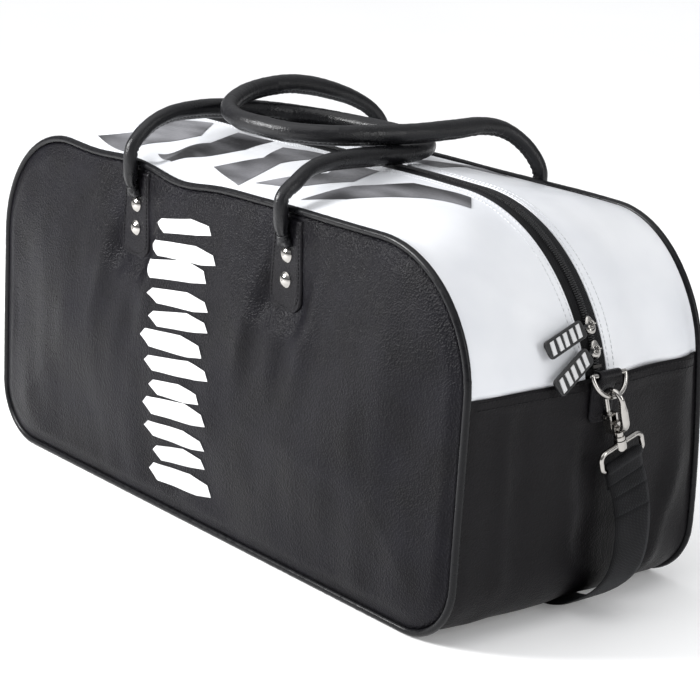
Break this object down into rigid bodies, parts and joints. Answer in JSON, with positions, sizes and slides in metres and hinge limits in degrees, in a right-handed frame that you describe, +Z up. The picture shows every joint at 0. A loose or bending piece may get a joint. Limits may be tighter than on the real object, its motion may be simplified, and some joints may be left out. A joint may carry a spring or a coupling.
{
  "type": "sports holdall",
  "caption": "Sports holdall with piped dark side panels, a pale zipped top, two rolled handles and a webbing shoulder strap held by D rings and snap hooks.",
  "frame": {"origin": "centre of the underside of the bag, on the floor", "axes": "+X along the bag towards the end with the zip sliders, +Y from the front panel to the rear panel, +Z up"},
  "size_m": [0.7153, 0.3066, 0.3748],
  "materials": {
    "leather": "black grained coated cloth, semi-gloss",
    "gloss_piping": "black glossy piping",
    "pale_cloth": "smooth pale coated cloth, slightly glossy",
    "cord_core": "plain rope and piping filler",
    "zip_cloth": "black woven tape",
    "zip_coil": "black nylon coil",
    "polished_metal": "polished nickel plate",
    "board": "stiff base board",
    "lining": "plain woven lining",
    "webbing": "black ribbed webbing",
    "tag_rubber": "soft black moulded tag",
    "tag_white": "raised white bars"
  },
  "bodies": {
    "bag": {"front_panel": "leather", "rear_panel": "leather", "top_panel_front": "pale_cloth", "top_panel_rear": "pale_cloth", "base_strip": "leather", "front_piping": "gloss_piping", "rear_piping": "gloss_piping", "front_piping_cord": "cord_core", "rear_piping_cord": "cord_core", "zip_tape_front": "zip_cloth", "zip_tape_rear": "zip_cloth", "zip_coil_front": "zip_coil", "zip_coil_rear": "zip_coil", "zip_end_stops": "polished_metal", "base_board": "board", "lining": "lining", "front_handle_tabs": "leather", "rear_handle_tabs": "leather", "front_rivets": "polished_metal", "rear_rivets": "polished_metal", "front_rivet_washers": "polished_metal", "rear_rivet_washers": "polished_metal", "front_handle_collars": "leather", "rear_handle_collars": "leather", "front_handle_legs": "leather", "rear_handle_legs": "leather", "ring_tab_right": "leather", "ring_tab_left": "leather", "strap_webbing": "webbing", "strap_adjuster": "polished_metal"},
    "rear_handle": {"rear_handle_grip": "leather", "rear_handle_rope": "cord_core"},
    "front_handle": {"front_handle_grip": "leather", "front_handle_rope": "cord_core"},
    "upper_slider": {"slider_a": "polished_metal", "puller_ring_a": "polished_metal"},
    "lower_slider": {"slider_b": "polished_metal", "puller_ring_b": "polished_metal"},
    "upper_tag": {"puller_tag_a": "tag_rubber", "tag_bars_a": "tag_white"},
    "lower_tag": {"puller_tag_b": "tag_rubber", "tag_bars_b": "tag_white"},
    "ring_right": {"d_ring_right": "polished_metal"},
    "hook_right": {"snap_hook_right": "polished_metal", "hook_stem_right": "polished_metal", "gate_pin_right": "polished_metal"},
    "gate_right": {"hook_gate_right": "polished_metal"},
    "eye_right": {"swivel_eye_right": "polished_metal", "strap_end_right": "webbing"},
    "ring_left": {"d_ring_left": "polished_metal"},
    "hook_left": {"snap_hook_left": "polished_metal", "hook_stem_left": "polished_metal", "gate_pin_left": "polished_metal"},
    "gate_left": {"hook_gate_left": "polished_metal"},
    "eye_left": {"swivel_eye_left": "polished_metal", "strap_end_left": "webbing"}
  },
  "joints": [
    {"name": "rear_handle_lift", "type": "hinge", "parent": "bag", "child": "rear_handle", "pos_m": [0, 0.145, 0.315], "axis": [-1, 0, 0], "range_deg": [0, 75]},
    {"name": "front_handle_lift", "type": "hinge", "parent": "bag", "child": "front_handle", "pos_m": [0, -0.145, 0.315], "axis": [1, 0, 0], "range_deg": [0, 25]},
    {"name": "upper_slider_travel", "type": "hinge", "parent": "bag", "child": "upper_slider", "pos_m": [0.17175, 0, 0.16875], "axis": [0, -1, 0], "range_deg": [0, 45]},
    {"name": "lower_slider_travel", "type": "hinge", "parent": "bag", "child": "lower_slider", "pos_m": [0.17175, 0, 0.16875], "axis": [0, 1, 0], "range_deg": [0, 1.2]},
    {"name": "upper_tag_swing", "type": "hinge", "parent": "upper_slider", "child": "upper_tag", "pos_m": [0.3174, -0.0068, 0.24457], "axis": [-0.4617, 0, 0.887], "range_deg": [0, 60]},
    {"name": "lower_tag_swing", "type": "hinge", "parent": "lower_slider", "child": "lower_tag", "pos_m": [0.32545, -0.0068, 0.22652], "axis": [-0.3518, 0, 0.9361], "range_deg": [0, 60]},
    {"name": "ring_right_swing", "type": "hinge", "parent": "bag", "child": "ring_right", "pos_m": [0.335, 0.003, 0.208], "axis": [0, -1, 0], "range_deg": [0, 12]},
    {"name": "hook_right_swing", "type": "hinge", "parent": "ring_right", "child": "hook_right", "pos_m": [0.342, 0.003, 0.19142], "axis": [1, 0, 0], "range_deg": [-8, 8]},
    {"name": "gate_right_open", "type": "hinge", "parent": "hook_right", "child": "gate_right", "pos_m": [0.3335, 0.00903, 0.17287], "axis": [0, 0.9511, 0.309], "range_deg": [0, 18]},
    {"name": "eye_right_turn", "type": "hinge", "parent": "hook_right", "child": "eye_right", "pos_m": [0.342, 0.0161, 0.15109], "axis": [0, -0.309, 0.9511], "range_deg": [-20, 20]},
    {"name": "ring_left_swing", "type": "hinge", "parent": "bag", "child": "ring_left", "pos_m": [-0.335, 0.003, 0.208], "axis": [0, 1, 0], "range_deg": [0, 12]},
    {"name": "hook_left_swing", "type": "hinge", "parent": "ring_left", "child": "hook_left", "pos_m": [-0.342, 0.003, 0.19142], "axis": [1, 0, 0], "range_deg": [-8, 8]},
    {"name": "gate_left_open", "type": "hinge", "parent": "hook_left", "child": "gate_left", "pos_m": [-0.3335, 0.00903, 0.17287], "axis": [0, -0.9511, -0.309], "range_deg": [0, 18]},
    {"name": "eye_left_turn", "type": "hinge", "parent": "hook_left", "child": "eye_left", "pos_m": [-0.342, 0.0161, 0.15109], "axis": [0, -0.309, 0.9511], "range_deg": [-20, 20]}
  ],
  "couplings": [
    {"joint": "front_handle_lift", "follows": "rear_handle_lift", "ratio": 0.33}
  ]
}
